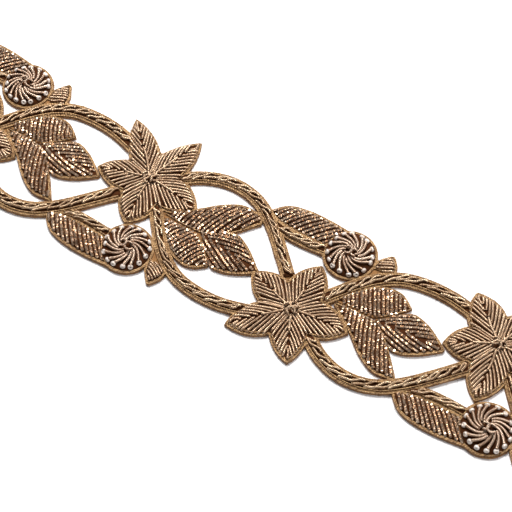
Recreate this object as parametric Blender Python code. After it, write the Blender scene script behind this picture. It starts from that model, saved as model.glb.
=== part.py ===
"""Gold cut-work embroidery trim: a padded scroll of flowers and leaves on one open ground cloth.

The trim lies flat. Its pattern is a half repeat that is moved along by HALF_REPEAT and turned over,
so every motif is laid out once, in millimetres, in the frame of a half repeat: "along" runs down the
trim from the flower's stitch line, and "across" points to the edge where that flower stands.
"""

import math
from collections import namedtuple

import bmesh
import bpy
from mathutils import Vector
from mathutils.geometry import delaunay_2d_cdt
from mathutils.kdtree import KDTree

MM = 0.001

# Driving sizes of the trim, in millimetres
HALF_REPEAT = 70.0
FLOWER_COUNT = 4
END_BOW = 1.29
BOW_MIDDLE = 1.5
CENTRE_SHIFT = -0.5

# Heights
GROUND_THICK = 1.2
CLEARANCE = 0.3
PAD_BASE = GROUND_THICK + CLEARANCE
RIB_HEIGHT = 0.3

# Flower
HUB_RADIUS = 1.6
HUB_HEIGHT = 1.9
NOTCH_REACH = 11.8
PETAL_RIM = 0.7
PETAL_CROWN = 2.5
PETAL_VALLEY = 1.0
VEIN_DEPTH = 0.3
PETAL_BORDER = 1.5
PETAL_ROUNDING = 1.6
RIB_STEPS = 16
NOTCH_STEP = 6
RIB_SLANT = 1.5

# Rosette
ROSETTE_ALONG = 8.4
ROSETTE_ACROSS = -18.6
ROSETTE_RADIUS = 9.9
ROSETTE_BORDER = 1.0
ROSETTE_RIBS = 17
ROSETTE_SWIRL = 0.75
ROSETTE_PROFILE = ((1.2, 2.9), (3.4, 2.7), (6.0, 2.1), (ROSETTE_RADIUS - ROSETTE_BORDER, 0.9))

# Leaves, buds and stems
LEAF_RIM = 0.6
LEAF_CROWN = 2.1
LEAF_BORDER = 1.2
LEAF_COLUMNS = 4
STEM_RIM = 0.6
STEM_CROWN = 1.5
STEM_BORDER = 0.8
STEM_COLUMNS = 3
STEM_POINT_GAP = 4.0
TWIST_PITCH = 5.0
TWIST_SLANT = 0.8
CROWN_FORWARD = 0.7

# Outline of the ground cloth, in which narrower gaps stay filled with cloth
GAP_LIMIT = 4.0
SHORTEST_EDGE = 0.5
EDGE_TOLERANCE = 0.06

# Points closer than this in a mesh are one point
WELD = 0.01

# Plain colour, roughness and metallic value of each kind of piece
Finish = namedtuple("Finish", "colour roughness metallic")
FINISHES = {
    "ground": Finish((0.42, 0.26, 0.10), 0.55, 0.4),
    "flower": Finish((0.55, 0.40, 0.28), 0.32, 0.9),
    "rosette": Finish((0.60, 0.48, 0.38), 0.35, 0.8),
    "arc": Finish((0.50, 0.34, 0.18), 0.40, 0.7),
    "stem": Finish((0.50, 0.34, 0.18), 0.40, 0.7),
    "twig": Finish((0.50, 0.34, 0.18), 0.40, 0.7),
    "single_leaf": Finish((0.46, 0.34, 0.24), 0.25, 0.9),
    "rear_leaf": Finish((0.46, 0.34, 0.24), 0.25, 0.9),
    "tip_leaf": Finish((0.46, 0.34, 0.24), 0.25, 0.9),
    "outer_leaf": Finish((0.46, 0.34, 0.24), 0.25, 0.9),
    "bud": Finish((0.55, 0.40, 0.28), 0.32, 0.9),
}

Flower = namedtuple("Flower", "along across")
FLOWERS = (
    Flower(0.3, 9.9),
    Flower(0.7, 9.3),
    Flower(0.9, 10.6),
    Flower(-1.4, 11.0),
)

# Petals by flower, each named for where it points. Headings are in degrees from the way along, towards
# the flower's edge of the trim. Fullness over 1 draws the sides in, and under 1 swells them.
Petal = namedtuple("Petal", "flower name heading reach fullness")
PETALS = (
    Petal(0, "outer_back", 135, 24.5, 1.1),
    Petal(0, "outer_front", 68, 22.0, 1.2),
    Petal(0, "back", 198, 20.5, 1.0),
    Petal(0, "inner", 273, 20.0, 1.0),
    Petal(0, "front", 358, 22.0, 1.0),
    Petal(1, "outer_back", 134, 27.0, 1.15),
    Petal(1, "outer_front", 71, 24.6, 1.4),
    Petal(1, "back", 195, 20.9, 1.05),
    Petal(1, "inner", 274, 19.8, 0.95),
    Petal(1, "front", 354, 21.6, 1.0),
    Petal(2, "outer_back", 138, 23.6, 0.95),
    Petal(2, "outer_front", 65, 20.0, 1.1),
    Petal(2, "back", 199, 20.6, 0.95),
    Petal(2, "inner", 273, 20.8, 1.0),
    Petal(2, "front", 355, 21.3, 1.0),
    Petal(3, "outer_back", 134, 21.6, 0.9),
    Petal(3, "outer_front", 64, 20.5, 1.1),
    Petal(3, "back", 204, 18.6, 0.95),
    Petal(3, "inner", 275, 22.6, 1.0),
    Petal(3, "front", 354, 21.0, 1.0),
)

# A leaf lies between two smooth edges that run from its root to its tip. The upper edge is nearer to
# the flower's edge of the trim. Lean says how far the rows of purl run ahead on the upper side.
Leaf = namedtuple("Leaf", "name upper lower rows lean")
SINGLE_LEAF = Leaf(
    "single_leaf",
    upper=((12.6, 1.4), (21.5, 7.8), (29.0, 14.2), (36.0, 17.7), (43.8, 17.2)),
    lower=((12.6, 0.2), (21.0, -0.2), (29.5, 0.8), (37.3, 8.0), (43.8, 16.0)),
    rows=16,
    lean=0.10,
)
REAR_LEAF = Leaf(
    "rear_leaf",
    upper=((12.4, -0.4), (20.0, -0.4), (27.0, -0.9), (32.0, -4.6), (36.8, -9.4)),
    lower=((12.4, -1.6), (17.3, -7.8), (23.5, -12.7), (31.0, -13.9), (37.0, -10.2)),
    rows=16,
    lean=0.10,
)
TIP_LEAF = Leaf(
    "tip_leaf",
    upper=((27.6, 0.6), (32.3, 4.0), (38.5, 7.7), (46.0, 5.2), (53.6, -0.4)),
    lower=((27.6, -0.6), (31.8, -4.2), (37.8, -8.6), (45.5, -6.8), (53.6, -1.4)),
    rows=16,
    lean=-0.10,
)
OUTER_LEAF = Leaf(
    "outer_leaf",
    upper=((45.0, 21.4), (50.0, 26.2), (58.0, 28.1), (68.0, 28.1), (82.0, 26.7)),
    lower=((45.0, 20.4), (50.0, 18.4), (58.0, 17.8), (68.0, 17.8), (82.0, 18.0)),
    rows=16,
    lean=0.10,
)
BUD = Leaf(
    "bud",
    upper=((17.2, -17.6), (17.9, -22.6), (21.6, -28.0)),
    lower=((25.8, -19.0), (25.2, -23.6), (22.6, -28.0)),
    rows=8,
    lean=0.0,
)

# A stem runs through a few points of its middle line. Half_width is that of the ground cloth below it.
Stem = namedtuple("Stem", "name points half_width")
ARC = Stem(
    "arc",
    points=(
        (8.0, 14.0), (16.0, 19.8), (24.0, 23.0), (32.0, 23.5),
        (40.0, 21.4), (47.7, 16.3), (55.2, 9.2), (63.5, 0.6),
    ),
    half_width=2.8,
)
INNER_STEM = Stem(
    "stem",
    points=(
        (7.0, 2.6), (11.8, -3.6), (16.0, -8.8), (21.5, -14.4),
        (29.0, -18.9), (38.0, -20.7), (48.0, -20.4), (58.0, -18.0),
    ),
    half_width=2.8,
)
TWIG = Stem("twig", points=((46, 18.4), (54, 16.4), (62, 16.0), (74, 17.0)), half_width=2.2)

# What each half repeat holds, and the share of its arc and stem that is there. As uneven as handwork,
# breadth scales the stems' widths, rise lifts the arc's crown, lift moves the outer leaf out to the
# edge, drop lowers the tip of the double leaf, swell is the share of the single leaf's extra breadth
# and blunt draws the bud's tip in.
Link = namedtuple(
    "Link", "unit inner_leaves outer_leaf arc_span stem_span breadth rise lift drop swell blunt"
)
LINKS = (
    Link(-1, False, True, (0.60, 1.0), (0.86, 1.0), 1.0, 0.0, 0.0, 0.0, 0.0, 0.0),
    Link(0, True, True, (0.0, 1.0), (0.0, 1.0), 1.07, 2.0, 0.8, 0.0, 0.0, 0.2),
    Link(1, True, True, (0.0, 1.0), (0.0, 1.0), 0.93, 0.0, -0.6, 2.4, 1.0, 1.2),
    Link(2, True, True, (0.0, 1.0), (0.0, 1.0), 0.97, 0.2, 0.2, 0.0, 0.0, 2.4),
    Link(3, False, False, (0.0, 0.2), (0.0, 0.42), 1.0, 0.0, 0.0, 0.0, 0.0, 1.0),
)

# How far each point of the single leaf's lower edge moves when it is fully swelled
LOWER_SWELL = ((0.0, 0.0), (0.0, 0.0), (1.0, 0.0), (0.9, -1.8), (1.4, -1.8))


def clear_scene():
    for item in list(bpy.data.objects):
        bpy.data.objects.remove(item, do_unlink=True)


def make_material(name, finish):
    material = bpy.data.materials.new(name)
    material.use_nodes = True
    shader = material.node_tree.nodes["Principled BSDF"]
    shader.inputs["Base Color"].default_value = (*finish.colour, 1.0)
    shader.inputs["Roughness"].default_value = finish.roughness
    shader.inputs["Metallic"].default_value = finish.metallic
    material.diffuse_color = (*finish.colour, 1.0)
    return material


def make_object(kind, name, mesh, collection):
    """One piece of the trim, with a material of its own."""
    item = bpy.data.objects.new(name, mesh)
    mesh.name = name
    mesh.materials.clear()
    mesh.materials.append(make_material(name, FINISHES[kind]))
    collection.objects.link(item)
    return item


# Layout of the half repeats

def side_of(unit):
    """Which edge of the trim the flower of a half repeat stands at: +1 is the upper one."""
    return 1.0 if unit % 2 else -1.0


def middle_line(x):
    """How far the trim's bowed middle line lies to the side."""
    return CENTRE_SHIFT + END_BOW * (x / HALF_REPEAT - BOW_MIDDLE) ** 2


def lay(unit, along, across):
    """A point of one half repeat as a point of the whole trim, in millimetres."""
    x = unit * HALF_REPEAT + along
    return Vector((x, side_of(unit) * across + middle_line(x)))


def back_to_unit(unit, point):
    """A point of the whole trim as a point of one half repeat."""
    return Vector((point.x - unit * HALF_REPEAT, side_of(unit) * (point.y - middle_line(point.x))))


def spline_point(points, share):
    """A point of the smooth line through the given points, at a share of its length in knots."""
    spans = len(points) - 1
    place = min(max(share, 0.0), 1.0) * spans
    index = min(int(place), spans - 1)
    t = place - index
    before, start, end, after = (
        Vector(points[min(max(index + step, 0), spans)]) for step in (-1, 0, 1, 2)
    )
    return 0.5 * (
        2.0 * start
        + (end - before) * t
        + (2.0 * before - 5.0 * start + 4.0 * end - after) * t ** 2
        + (3.0 * start - before - 3.0 * end + after) * t ** 3
    )


# Flower

def petals_of(unit):
    """The petals of one flower, in order of heading, each with the notches on its two sides."""
    petals = sorted((petal for petal in PETALS if petal.flower == unit), key=lambda petal: petal.heading)
    rows = []
    for index, petal in enumerate(petals):
        before = petals[index - 1]
        after = petals[(index + 1) % len(petals)]
        low = petal.heading - ((petal.heading - before.heading) % 360) / 2
        high = petal.heading + ((after.heading - petal.heading) % 360) / 2
        rows.append((petal, low, high))
    return rows


def petal_edge(petal, notch, share, inset):
    """Heading and reach of the petal's edge, from the notch (share 0) to the tip (share 1)."""
    heading = notch + (petal.heading - notch) * share
    reach = NOTCH_REACH + (petal.reach - NOTCH_REACH) * share ** petal.fullness
    return heading, reach - inset


def flower_reach(unit, heading, inset):
    """How far the flower reaches from its centre in one heading."""
    for petal, low, high in petals_of(unit):
        turn = (heading - low) % 360
        if turn <= high - low:
            middle = petal.heading - low
            share = turn / middle if turn < middle else (high - low - turn) / (high - petal.heading)
            return petal_edge(petal, low, share, inset)[1]
    return NOTCH_REACH - inset


def from_flower(unit, heading, reach):
    """A point of the half repeat at a heading and a reach from its flower's centre."""
    angle = math.radians(heading)
    flower = FLOWERS[unit]
    return flower.along + reach * math.cos(angle), flower.across + reach * math.sin(angle)


def in_flower(unit, point, gap):
    """Whether a point of the trim lies under the flower's pad, or nearer to it than the gap."""
    offset = back_to_unit(unit, point) - Vector(FLOWERS[unit])
    heading = math.degrees(math.atan2(offset.y, offset.x)) % 360
    return offset.length < flower_reach(unit, heading, PETAL_BORDER) + gap


def in_rosette(unit, point, gap):
    centre = lay(unit, ROSETTE_ALONG, ROSETTE_ACROSS)
    return (point - centre).length < ROSETTE_RADIUS - ROSETTE_BORDER + gap


def close_below(mesh, height):
    """Drop a wall from the open edge of a surface to one height and close the bottom."""
    rim = [edge for edge in mesh.edges if edge.is_boundary]
    walls = bmesh.ops.extrude_edge_only(mesh, edges=rim)
    for vertex in walls["geom"]:
        if isinstance(vertex, bmesh.types.BMVert):
            vertex.co.z = height
    low_rim = [edge for edge in mesh.edges if edge.is_boundary]
    bmesh.ops.holes_fill(mesh, edges=low_rim, sides=0)


def rib(step):
    """The height of a row: alternate rows stand up and lie down by half a rib."""
    return RIB_HEIGHT * (0.5 if step % 2 else -0.5)


def finish_mesh(mesh):
    """Turn a closed shape in millimetres into a mesh in metres with its faces pointing out."""
    bmesh.ops.scale(mesh, vec=(MM, MM, MM), verts=mesh.verts)
    bmesh.ops.recalc_face_normals(mesh, faces=mesh.faces)
    data = bpy.data.meshes.new("piece")
    mesh.to_mesh(data)
    mesh.free()
    return data


def vein_height(along):
    """The height of a petal's vein, which rises from the hub to the crown and falls to the tip."""
    rise = (PETAL_CROWN - HUB_HEIGHT) * math.sqrt(math.sin(math.pi * along))
    fall = (HUB_HEIGHT - PETAL_RIM) * max(0.0, 2.0 * along - 1.0) ** 3
    return HUB_HEIGHT + rise - fall


def half_petal(mesh, unit, petal, notch):
    """One side of a petal: slanting ribs from its vein to its edge, as a grid of points."""
    columns = 3
    grid = bmesh.ops.create_grid(mesh, x_segments=RIB_STEPS, y_segments=columns, size=0.5)
    for vertex in grid["verts"]:
        step = round((vertex.co.x + 0.5) * RIB_STEPS)
        out = vertex.co.y + 0.5
        along = step / RIB_STEPS
        tip = petal.reach - PETAL_BORDER
        vein = from_flower(unit, petal.heading, HUB_RADIUS + (tip - HUB_RADIUS) * along ** RIB_SLANT)
        if step <= NOTCH_STEP:
            reach = HUB_RADIUS + (NOTCH_REACH - PETAL_BORDER - HUB_RADIUS) * step / NOTCH_STEP
            edge = from_flower(unit, notch, reach)
            edge_height = HUB_HEIGHT + (PETAL_VALLEY - HUB_HEIGHT) * step / NOTCH_STEP
        else:
            share = (step - NOTCH_STEP) / (RIB_STEPS - NOTCH_STEP)
            edge = from_flower(unit, *petal_edge(petal, notch, share, PETAL_BORDER))
            edge_height = PETAL_VALLEY + (PETAL_RIM - PETAL_VALLEY) * share
        point = lay(unit, *Vector(vein).lerp(Vector(edge), out))
        roundness = math.cos(0.5 * math.pi * out ** PETAL_ROUNDING)
        height = edge_height + (vein_height(along) - edge_height) * roundness
        if 0 < step < RIB_STEPS:
            height -= VEIN_DEPTH * (out == 0.0)
            height += rib(step) * (1.0 - 0.5 * out)
        vertex.co = (point.x, point.y, PAD_BASE + height)


def near_hub(unit, edge):
    """Whether an edge is one of the ring where the petals start."""
    centre = lay(unit, FLOWERS[unit].along, FLOWERS[unit].across)
    return all((vertex.co.xy - centre).length < 1.5 * HUB_RADIUS for vertex in edge.verts)


def flower_mesh(unit):
    """The padded flower: its half petals welded side by side round a small hub."""
    mesh = bmesh.new()
    for petal, low, high in petals_of(unit):
        half_petal(mesh, unit, petal, low)
        half_petal(mesh, unit, petal, high)
    bmesh.ops.remove_doubles(mesh, verts=mesh.verts, dist=WELD)
    hub = [edge for edge in mesh.edges if edge.is_boundary and near_hub(unit, edge)]
    hub_faces = bmesh.ops.holes_fill(mesh, edges=hub, sides=0)["faces"]
    bmesh.ops.poke(mesh, faces=hub_faces, offset=0.0)
    close_below(mesh, PAD_BASE)
    return finish_mesh(mesh)


# Rosette

def rosette_mesh(unit):
    """A low dome turned about its middle, with swirling ribs that run from the middle to the rim."""
    mesh = bmesh.new()
    profile = [mesh.verts.new((radius, 0.0, PAD_BASE + height)) for radius, height in ROSETTE_PROFILE]
    edges = [mesh.edges.new(pair) for pair in zip(profile, profile[1:])]
    bmesh.ops.spin(
        mesh, geom=profile + edges, cent=(0, 0, 0), axis=(0, 0, 1), angle=2 * math.pi, steps=2 * ROSETTE_RIBS
    )
    bmesh.ops.remove_doubles(mesh, verts=mesh.verts, dist=WELD)
    side = side_of(unit)
    centre = lay(unit, ROSETTE_ALONG, ROSETTE_ACROSS)
    for vertex in mesh.verts:
        radius = vertex.co.xy.length
        angle = math.atan2(vertex.co.y, vertex.co.x)
        step = round(angle / math.pi * ROSETTE_RIBS)
        turn = angle + side * ROSETTE_SWIRL * (1.0 - radius / ROSETTE_RADIUS)
        vertex.co.x = centre.x + radius * math.cos(turn)
        vertex.co.y = centre.y + radius * math.sin(turn)
        vertex.co.z += rib(step)
    rings = [edge for edge in mesh.edges if edge.is_boundary]
    middle = [edge for edge in rings if (edge.verts[0].co.xy - centre).length < ROSETTE_PROFILE[1][0]]
    bmesh.ops.holes_fill(mesh, edges=middle, sides=0)
    close_below(mesh, PAD_BASE)
    return finish_mesh(mesh)


# Leaves

def leaf_point(leaf, share, out, border):
    """A point of a leaf: share runs from root to tip, out from -1 to 1 across, border draws it in."""
    steps = len(leaf.upper) - 1
    length = sum((Vector(leaf.upper[step + 1]) - Vector(leaf.upper[step])).length for step in range(steps))
    end_cut = border / length
    place = end_cut + (1.0 - 2.0 * end_cut) * share
    upper = spline_point(leaf.upper, place)
    lower = spline_point(leaf.lower, place)
    side_cut = min(border / (upper - lower).length, 0.4)
    return lower.lerp(upper, 0.5 + out * (0.5 - side_cut))


def leaf_swell(share):
    """How plump the leaf is at a share of its length, from 0 at its ends to 1 in the middle."""
    return math.sin(math.pi * share) ** 0.6


def moved_leaf(leaf, root_move, tip_move):
    """The same leaf with its root and its tip moved across, and its middle between them."""
    steps = len(leaf.upper) - 1

    def slide(edge):
        return tuple(
            (along, across + root_move + (tip_move - root_move) * index / steps)
            for index, (along, across) in enumerate(edge)
        )

    return leaf._replace(upper=slide(leaf.upper), lower=slide(leaf.lower))


def swelled_leaf(leaf, share):
    """A leaf whose lower edge is moved out by a share of the swell."""
    lower = tuple(
        (along + share * ahead, across + share * aside)
        for (along, across), (ahead, aside) in zip(leaf.lower, LOWER_SWELL)
    )
    return leaf._replace(lower=lower)


def leaf_outline(unit, leaf):
    """The leaf's edge on the ground cloth, once round."""
    steps = 14
    shares = [0.5 - 0.5 * math.cos(math.pi * step / steps) for step in range(steps + 1)]
    upper = [leaf_point(leaf, share, 1.0, 0.0) for share in shares]
    lower = [leaf_point(leaf, share, -1.0, 0.0) for share in reversed(shares)]
    return [lay(unit, *point) for point in upper + lower]


def clear_span(path, blocked):
    """The ends of the longest stretch of a path that nothing blocks, found in small steps."""
    steps = 160
    best = (0, 0)
    start = 0
    for step in range(steps + 1):
        if blocked(path(step / steps)):
            start = step + 1
        elif step - start > best[1] - best[0]:
            best = (start, step)
    return best[0] / steps, best[1] / steps


def leaf_mesh(unit, leaf, blocked):
    """A padded leaf: a crowned grid with its rows raised, cut back where another pad blocks it."""
    mesh = bmesh.new()
    grid = bmesh.ops.create_grid(mesh, x_segments=leaf.rows, y_segments=LEAF_COLUMNS, size=0.5)
    spans = {}
    for column in range(LEAF_COLUMNS + 1):
        out = 2.0 * column / LEAF_COLUMNS - 1.0
        path = lambda share, out=out: lay(unit, *leaf_point(leaf, share, out, LEAF_BORDER))
        spans[column] = clear_span(path, blocked)
    for vertex in grid["verts"]:
        step = round((vertex.co.x + 0.5) * leaf.rows)
        column = round((vertex.co.y + 0.5) * LEAF_COLUMNS)
        out = 2.0 * column / LEAF_COLUMNS - 1.0
        even = step / leaf.rows
        leaned = even + leaf.lean * out * 4.0 * even * (1.0 - even)
        start, end = spans[column]
        share = start + (end - start) * leaned
        point = lay(unit, *leaf_point(leaf, share, out, LEAF_BORDER))
        swell = leaf_swell(even)
        height = LEAF_RIM + (LEAF_CROWN - LEAF_RIM) * swell * (1.0 - out ** 2)
        if 0 < step < leaf.rows:
            height += rib(step) * swell
        vertex.co = (point.x, point.y, PAD_BASE + height)
    close_below(mesh, PAD_BASE)
    return finish_mesh(mesh)


# Stems

def stem_point(stem, share, out, half_width):
    """A point of a stem: share runs along it, out from -1 to 1 across it."""
    step = 0.01
    middle = spline_point(stem.points, share)
    ahead = spline_point(stem.points, share + step) - spline_point(stem.points, share - step)
    normal = Vector((-ahead.y, ahead.x)).normalized()
    return middle + normal * out * half_width


def varied_stem(stem, rise, breadth):
    """The same stem with its crown lifted, its two ends staying where they are, and its width scaled."""
    spans = len(stem.points) - 1
    points = tuple(
        (along, across + rise * math.sin(math.pi * (index / spans) ** CROWN_FORWARD))
        for index, (along, across) in enumerate(stem.points)
    )
    return stem._replace(points=points, half_width=stem.half_width * breadth)


def moved_stem(stem, move):
    """The same stem moved across."""
    return stem._replace(points=tuple((along, across + move) for along, across in stem.points))


def beside_stem(unit, stem, start, end):
    """A test for points under a stem's pad, or nearer to it than the clearance."""
    steps = 320
    tree = KDTree(steps + 1)
    for step in range(steps + 1):
        point = lay(unit, *spline_point(stem.points, start + (end - start) * step / steps))
        tree.insert(point.to_3d(), step)
    tree.balance()
    reach = stem.half_width - STEM_BORDER + CLEARANCE
    return lambda point: tree.find(point.to_3d())[2] < reach


def stem_length(stem, start, end):
    """The length of the part of a stem between two shares."""
    steps = 40
    line = [spline_point(stem.points, start + (end - start) * step / steps) for step in range(steps + 1)]
    return sum((after - before).length for before, after in zip(line, line[1:]))


def stem_outline(unit, stem, start, end):
    """The stem's edge on the ground cloth, once round."""
    steps = max(3, round(stem_length(stem, start, end) / STEM_POINT_GAP))
    shares = [start + (end - start) * step / steps for step in range(steps + 1)]
    upper = [stem_point(stem, share, 1.0, stem.half_width) for share in shares]
    lower = [stem_point(stem, share, -1.0, stem.half_width) for share in reversed(shares)]
    return [lay(unit, *point) for point in upper + lower]


def stem_mesh(unit, stem, start, end, blocked):
    """A corded stem: a low arched band with the slanting turns of its cord raised."""
    half_width = stem.half_width - STEM_BORDER
    turns = max(2, round(stem_length(stem, start, end) / TWIST_PITCH))
    rows = 2 * turns
    mesh = bmesh.new()
    grid = bmesh.ops.create_grid(mesh, x_segments=rows, y_segments=STEM_COLUMNS, size=0.5)
    spans = {}
    for column in range(STEM_COLUMNS + 1):
        out = 2.0 * column / STEM_COLUMNS - 1.0
        path = lambda share, out=out: lay(
            unit, *stem_point(stem, start + (end - start) * share, out, half_width)
        )
        spans[column] = clear_span(path, blocked)
    for vertex in grid["verts"]:
        step = round((vertex.co.x + 0.5) * rows)
        column = round((vertex.co.y + 0.5) * STEM_COLUMNS)
        out = 2.0 * column / STEM_COLUMNS - 1.0
        even = step / rows
        if 0 < step < rows:
            even += TWIST_SLANT * out / rows
        low, high = spans[column]
        share = start + (end - start) * (low + (high - low) * even)
        point = lay(unit, *stem_point(stem, share, out, half_width))
        height = STEM_RIM + (STEM_CROWN - STEM_RIM) * (1.0 - out ** 2)
        if 0 < step < rows:
            height += rib(step)
        vertex.co = (point.x, point.y, PAD_BASE + height)
    close_below(mesh, PAD_BASE)
    return finish_mesh(mesh)


# Ground cloth

def flower_outline(unit):
    """The edge of the ground cloth under a flower, once round, with a point at each tip and notch."""
    steps = 6
    outline = []
    for petal, low, high in petals_of(unit):
        rising = [petal_edge(petal, low, step / steps, 0.0) for step in range(steps + 1)]
        falling = [petal_edge(petal, high, step / steps, 0.0) for step in range(steps - 1, 0, -1)]
        outline += [lay(unit, *from_flower(unit, *edge)) for edge in rising + falling]
    return outline


def rosette_outline(unit):
    """The round edge of the ground cloth under a rosette."""
    steps = 30
    centre = lay(unit, ROSETTE_ALONG, ROSETTE_ACROSS)
    angles = [2.0 * math.pi * step / steps for step in range(steps)]
    return [centre + ROSETTE_RADIUS * Vector((math.cos(angle), math.sin(angle))) for angle in angles]


def signed_area(loop):
    """The area inside a loop, positive where it runs anticlockwise."""
    return 0.5 * sum(a.x * b.y - b.x * a.y for a, b in zip(loop, loop[1:] + loop[:1]))


def joined_outlines(outlines):
    """The edges of the area that overlapping outlines cover together: one outer loop and the gaps."""
    points = []
    faces = []
    for outline in outlines:
        faces.append(list(range(len(points), len(points) + len(outline))))
        points += outline if signed_area(outline) > 0 else reversed(outline)
    triangles_inside = 1
    merged = delaunay_2d_cdt(points, [], faces, triangles_inside, WELD)
    mesh = bmesh.new()
    vertices = [mesh.verts.new((point.x, point.y, 0.0)) for point in merged[0]]
    for face, sources in zip(merged[2], merged[5]):
        if sources:
            mesh.faces.new([vertices[index] for index in face])
    loops = []
    waiting = {edge for edge in mesh.edges if edge.is_boundary}
    while waiting:
        first = waiting.pop()
        start, here = first.verts
        loop = [start.co.xy.copy()]
        while here != start:
            loop.append(here.co.xy.copy())
            edge = next(edge for edge in here.link_edges if edge in waiting)
            waiting.remove(edge)
            here = edge.other_vert(here)
        loops.append(loop)
    mesh.free()
    return loops


def loop_breadth(loop):
    """Four times a loop's area over its way round, which is the width of a square or a disc."""
    way = sum((b - a).length for a, b in zip(loop, loop[1:] + loop[:1]))
    return 4.0 * abs(signed_area(loop)) / way


def eased(loop):
    """The loop without points that nearly touch or that lie on the line of their neighbours."""
    kept = [loop[0]]
    for point in loop[1:]:
        if (point - kept[-1]).length > SHORTEST_EDGE:
            kept.append(point)
    result = []
    for index, point in enumerate(kept):
        before = kept[index - 1]
        after = kept[(index + 1) % len(kept)]
        line = (after - before).normalized()
        offset = point - before
        if abs(offset.x * line.y - offset.y * line.x) > EDGE_TOLERANCE:
            result.append(point)
    return result


def ground_mesh(outlines):
    """A flat filled curve with the outer edge and every gap over the limit as its splines."""
    curve = bpy.data.curves.new("ground_outline", "CURVE")
    curve.dimensions = "2D"
    curve.fill_mode = "BOTH"
    curve.extrude = 0.5 * GROUND_THICK * MM
    for loop in joined_outlines(outlines):
        if loop_breadth(loop) < GAP_LIMIT:
            continue
        points = eased(loop)
        spline = curve.splines.new("POLY")
        spline.points.add(len(points) - 1)
        for knot, point in zip(spline.points, points):
            knot.co = (point.x * MM, point.y * MM, 0.0, 1.0)
        spline.use_cyclic_u = True
    outline = bpy.data.objects.new("ground_outline", curve)
    bpy.context.scene.collection.objects.link(outline)
    evaluated = outline.evaluated_get(bpy.context.evaluated_depsgraph_get())
    data = bpy.data.meshes.new_from_object(evaluated)
    bpy.data.objects.remove(outline, do_unlink=True)
    mesh = bmesh.new()
    mesh.from_mesh(data)
    bmesh.ops.remove_doubles(mesh, verts=mesh.verts, dist=WELD * MM)
    bmesh.ops.translate(mesh, vec=(0.0, 0.0, 0.5 * GROUND_THICK * MM), verts=mesh.verts)
    bmesh.ops.recalc_face_normals(mesh, faces=mesh.faces)
    mesh.to_mesh(data)
    mesh.free()
    return data


# The whole trim

def beside_motifs(unit):
    """A test for points too near the flowers and rosettes at the two ends of a half repeat."""
    def beside(point):
        return any(
            in_flower(near, point, CLEARANCE) or in_rosette(near, point, CLEARANCE)
            for near in (unit, unit + 1)
            if 0 <= near < FLOWER_COUNT
        )
    return beside


def build_link(link, collection, outlines):
    """The stems and leaves that run from one flower to the next."""
    unit = link.unit
    number = unit + 1
    arc = varied_stem(ARC, link.rise, link.breadth)
    inner = varied_stem(INNER_STEM, 0.0, link.breadth)
    tests = [beside_motifs(unit)]

    def blocked(point):
        return any(test(point) for test in tests)

    def add_stem(stem, start, end):
        outlines.append(stem_outline(unit, stem, start, end))
        mesh = stem_mesh(unit, stem, start, end, blocked)
        make_object(stem.name, f"{stem.name}_{number}", mesh, collection)

    def add_leaf(leaf):
        outlines.append(leaf_outline(unit, leaf))
        mesh = leaf_mesh(unit, leaf, blocked)
        make_object(leaf.name, f"{leaf.name}_{number}", mesh, collection)

    add_stem(arc, *link.arc_span)
    add_stem(inner, *link.stem_span)
    tests.append(beside_stem(unit, arc, *link.arc_span))
    tests.append(beside_stem(unit, inner, *link.stem_span))
    if link.outer_leaf:
        add_stem(moved_stem(TWIG, link.lift), 0.0, 1.0)
        add_leaf(moved_leaf(OUTER_LEAF, 0.5 * link.lift, link.lift))
    if link.inner_leaves:
        add_leaf(swelled_leaf(SINGLE_LEAF, link.swell))
        add_leaf(REAR_LEAF)
        add_leaf(moved_leaf(TIP_LEAF, 0.0, -link.drop))
    if unit >= 0:
        add_leaf(moved_leaf(BUD, 0.0, link.blunt))


def main():
    clear_scene()
    collection = bpy.data.collections.new("embroidered_trim")
    bpy.context.scene.collection.children.link(collection)
    outlines = []
    for unit in range(FLOWER_COUNT):
        outlines += [flower_outline(unit), rosette_outline(unit)]
        make_object("flower", f"flower_{unit + 1}", flower_mesh(unit), collection)
        make_object("rosette", f"rosette_{unit + 1}", rosette_mesh(unit), collection)
    for link in LINKS:
        build_link(link, collection, outlines)
    ground = make_object("ground", "ground", ground_mesh(outlines), collection)

    # The origin is under the middle of the trim's box.
    corners = [Vector(corner) for corner in ground.bound_box]
    middle = 0.5 * (corners[0] + corners[6])
    for item in collection.objects:
        item.location = (-middle.x, -middle.y, 0.0)


main()
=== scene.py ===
# %% [markdown]
# # Gold embroidered lace trim
# The real trim is goldwork: short coils of wire, called purls, are sewn over soft padding on a metal-thread
# cloth, every motif is edged with stitched gold thread, and the cloth is cut away between the motifs.
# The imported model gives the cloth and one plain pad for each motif. This file dresses them. All sizes are
# worked out in millimetres, and a mesh is turned to metres when it is made.

import functools
import math
import random
from collections import namedtuple

import bmesh
import bpy
import numpy as np
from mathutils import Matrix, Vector, noise
from mathutils.bvhtree import BVHTree


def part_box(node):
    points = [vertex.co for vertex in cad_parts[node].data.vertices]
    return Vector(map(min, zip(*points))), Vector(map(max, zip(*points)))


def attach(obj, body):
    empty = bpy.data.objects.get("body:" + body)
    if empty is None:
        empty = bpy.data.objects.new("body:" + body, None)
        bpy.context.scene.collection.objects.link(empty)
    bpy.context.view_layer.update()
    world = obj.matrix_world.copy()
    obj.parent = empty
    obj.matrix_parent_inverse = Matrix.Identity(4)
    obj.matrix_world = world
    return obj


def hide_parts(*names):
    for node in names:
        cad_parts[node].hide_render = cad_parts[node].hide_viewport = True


MM = 0.001

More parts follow.
